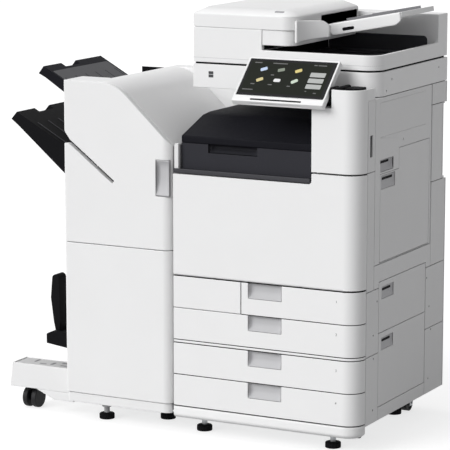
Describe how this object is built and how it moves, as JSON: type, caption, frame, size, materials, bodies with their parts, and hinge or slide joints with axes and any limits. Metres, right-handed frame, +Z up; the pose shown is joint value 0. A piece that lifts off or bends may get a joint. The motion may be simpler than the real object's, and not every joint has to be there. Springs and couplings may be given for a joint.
{
  "type": "multifunction copier",
  "caption": "Floor-standing office copier with paper drawers, document feeder and control panel, and a stapling finisher with output trays on its left side.",
  "frame": {"origin": "on the floor, under the middle of the bounding box of the whole machine", "axes": "+Z up, +Y to the back of the machine, +X to its right side"},
  "size_m": [1.1612, 0.636, 1.1923],
  "materials": {
    "light_cover": "fine matte",
    "side_cover": "fine matte",
    "dark_plastic": "matte",
    "black_plastic": "matte",
    "grey_plastic": "matte",
    "steel_sheet": "zinc sheet",
    "steel_rod": "ground",
    "glass": "clear",
    "screen": "gloss",
    "rubber": "matte"
  },
  "bodies": {
    "chassis": {"main_frame": "steel_sheet", "base_skirt": "light_cover", "side_panels": "side_cover", "rear_cover": "side_cover", "front_trim": "light_cover", "column_cover": "light_cover", "cavity_cover": "side_cover", "cavity_tray": "dark_plastic", "relay_unit": "dark_plastic", "reader_housing": "light_cover", "platen_glass": "glass", "carriage_rails": "steel_rod", "panel_arm": "dark_plastic", "adf_hinges": "steel_rod", "toner_bottles": "dark_plastic", "drum_units": "dark_plastic", "transfer_belt": "black_plastic", "fixing_unit": "dark_plastic", "levelling_feet": "rubber", "power_inlet": "black_plastic", "finisher_frame": "steel_sheet", "finisher_top": "light_cover", "finisher_panels": "light_cover", "tray_wall": "dark_plastic", "booklet_arm": "light_cover"},
    "relay_cover": {"relay_lid": "dark_plastic"},
    "carriage": {"scan_carriage": "black_plastic"},
    "panel": {"panel_shell": "light_cover", "touch_screen": "screen"},
    "feeder": {"adf_base": "light_cover", "adf_exit_tray": "black_plastic"},
    "feed_cover": {"adf_feed_cover": "light_cover"},
    "original_tray": {"adf_input_tray": "side_cover"},
    "document_guide_front": {"guide_front": "grey_plastic"},
    "document_guide_rear": {"guide_rear": "grey_plastic"},
    "feed_roller": {"adf_rollers": "rubber"},
    "toner_door": {"front_door": "light_cover"},
    "duplex_door": {"right_door": "side_cover"},
    "hand_feed_flap": {"bypass_tray": "side_cover"},
    "upper_jam_door": {"cassette_door_upper": "side_cover"},
    "lower_jam_door": {"cassette_door_lower": "side_cover"},
    "caster_fork_left": {"fork_front_left": "steel_rod"},
    "caster_fork_right": {"fork_front_right": "steel_rod"},
    "caster_wheel_left": {"wheel_front_left": "rubber"},
    "caster_wheel_right": {"wheel_front_right": "rubber"},
    "rear_wheels": {"wheels_rear": "rubber"},
    "stapler_door": {"finisher_door": "light_cover"},
    "stack_tray_upper": {"upper_tray": "dark_plastic"},
    "stack_tray_lower": {"lower_tray": "dark_plastic"},
    "paddle": {"booklet_paddle": "black_plastic"},
    "arm_caster_fork": {"arm_fork": "black_plastic"},
    "arm_caster_wheels": {"arm_wheels": "rubber"},
    "paper_drawer_1": {"drawer_1": "light_cover", "cassette_1": "grey_plastic"},
    "paper_drawer_2": {"drawer_2": "light_cover", "cassette_2": "grey_plastic"},
    "paper_drawer_3": {"drawer_3": "light_cover", "cassette_3": "grey_plastic"},
    "paper_drawer_4": {"drawer_4": "light_cover", "cassette_4": "grey_plastic"}
  },
  "joints": [
    {"name": "relay_lid_hinge", "type": "hinge", "parent": "chassis", "child": "relay_cover", "pos_m": [0.21565, 0.139, 0.832], "axis": [-1, 0, 0], "range_deg": [0, 8]},
    {"name": "carriage_slide", "type": "slide", "parent": "chassis", "child": "carriage", "axis": [1, 0, 0], "range_m": [0, 0.35]},
    {"name": "panel_tilt", "type": "hinge", "parent": "chassis", "child": "panel", "pos_m": [0.45765, -0.242, 0.978], "axis": [1, 0, 0], "range_deg": [-12, 10]},
    {"name": "feeder_hinge", "type": "hinge", "parent": "chassis", "child": "feeder", "pos_m": [0.31565, 0.306, 1.048], "axis": [-1, 0, 0], "range_deg": [0, 60]},
    {"name": "feed_cover_hinge", "type": "hinge", "parent": "feeder", "child": "feed_cover", "pos_m": [0.02865, 0.038, 1.1443], "axis": [0, -1, 0], "range_deg": [0, 75]},
    {"name": "original_tray_hinge", "type": "hinge", "parent": "feeder", "child": "original_tray", "pos_m": [0.34617, 0.119, 1.1344], "axis": [0, -1, 0], "range_deg": [0, 20]},
    {"name": "guide_front_slide", "type": "slide", "parent": "original_tray", "child": "document_guide_front", "axis": [0, 1, 0], "range_m": [0, 0.05]},
    {"name": "guide_rear_slide", "type": "slide", "parent": "original_tray", "child": "document_guide_rear", "axis": [0, 1, 0], "range_m": [-0.05, 0]},
    {"name": "feed_roller_spin", "type": "hinge", "parent": "feeder", "child": "feed_roller", "pos_m": [0.30365, 0.106, 1.153], "axis": [0, 1, 0], "continuous": true},
    {"name": "front_door_hinge", "type": "hinge", "parent": "chassis", "child": "toner_door", "pos_m": [0.26565, -0.275, 0.461], "axis": [1, 0, 0], "range_deg": [0, 90]},
    {"name": "drawer_1_slide", "type": "slide", "parent": "chassis", "child": "paper_drawer_1", "axis": [0, -1, 0], "range_m": [0, 0.4]},
    {"name": "drawer_2_slide", "type": "slide", "parent": "chassis", "child": "paper_drawer_2", "axis": [0, -1, 0], "range_m": [0, 0.4]},
    {"name": "drawer_3_slide", "type": "slide", "parent": "chassis", "child": "paper_drawer_3", "axis": [0, -1, 0], "range_m": [0, 0.4]},
    {"name": "drawer_4_slide", "type": "slide", "parent": "chassis", "child": "paper_drawer_4", "axis": [0, -1, 0], "range_m": [0, 0.4]},
    {"name": "duplex_door_hinge", "type": "hinge", "parent": "chassis", "child": "duplex_door", "pos_m": [0.57265, 0.203, 0.7], "axis": [0, 0, 1], "range_deg": [0, 85]},
    {"name": "hand_feed_hinge", "type": "hinge", "parent": "duplex_door", "child": "hand_feed_flap", "pos_m": [0.57815, 0.018, 0.5175], "axis": [0, 1, 0], "range_deg": [0, 75]},
    {"name": "upper_jam_door_hinge", "type": "hinge", "parent": "chassis", "child": "upper_jam_door", "pos_m": [0.57665, 0.175, 0.39], "axis": [0, 0, 1], "range_deg": [0, 85]},
    {"name": "lower_jam_door_hinge", "type": "hinge", "parent": "chassis", "child": "lower_jam_door", "pos_m": [0.57665, 0.175, 0.215], "axis": [0, 0, 1], "range_deg": [0, 85]},
    {"name": "caster_left_swivel", "type": "hinge", "parent": "chassis", "child": "caster_fork_left", "pos_m": [0.10565, -0.107, 0.06], "axis": [0, 0, 1], "continuous": true},
    {"name": "caster_left_spin", "type": "hinge", "parent": "caster_fork_left", "child": "caster_wheel_left", "pos_m": [0.10565, -0.089, 0.025], "axis": [1, 0, 0], "continuous": true},
    {"name": "caster_right_swivel", "type": "hinge", "parent": "chassis", "child": "caster_fork_right", "pos_m": [0.49065, -0.107, 0.06], "axis": [0, 0, 1], "continuous": true},
    {"name": "caster_right_spin", "type": "hinge", "parent": "caster_fork_right", "child": "caster_wheel_right", "pos_m": [0.49065, -0.089, 0.025], "axis": [1, 0, 0], "continuous": true},
    {"name": "rear_wheels_spin", "type": "hinge", "parent": "chassis", "child": "rear_wheels", "pos_m": [0.26565, 0.26, 0.025], "axis": [1, 0, 0], "continuous": true},
    {"name": "stapler_door_hinge", "type": "hinge", "parent": "chassis", "child": "stapler_door", "pos_m": [-0.32735, -0.273, 0.7], "axis": [0, 0, -1], "range_deg": [0, 100]},
    {"name": "upper_tray_lift", "type": "slide", "parent": "chassis", "child": "stack_tray_upper", "axis": [0, 0, 1], "range_m": [-0.08, 0]},
    {"name": "lower_tray_lift", "type": "slide", "parent": "chassis", "child": "stack_tray_lower", "axis": [0, 0, 1], "range_m": [-0.12, 0]},
    {"name": "paddle_hinge", "type": "hinge", "parent": "chassis", "child": "paddle", "pos_m": [-0.41635, -0.175, 0.23], "axis": [0, -1, 0], "range_deg": [0, 30]},
    {"name": "arm_caster_swivel", "type": "hinge", "parent": "chassis", "child": "arm_caster_fork", "pos_m": [-0.49535, -0.22, 0.06], "axis": [0, 0, 1], "continuous": true},
    {"name": "arm_caster_spin", "type": "hinge", "parent": "arm_caster_fork", "child": "arm_caster_wheels", "pos_m": [-0.49535, -0.202, 0.03], "axis": [1, 0, 0], "continuous": true}
  ],
  "couplings": [
    {"joint": "guide_rear_slide", "follows": "guide_front_slide", "ratio": -1}
  ]
}
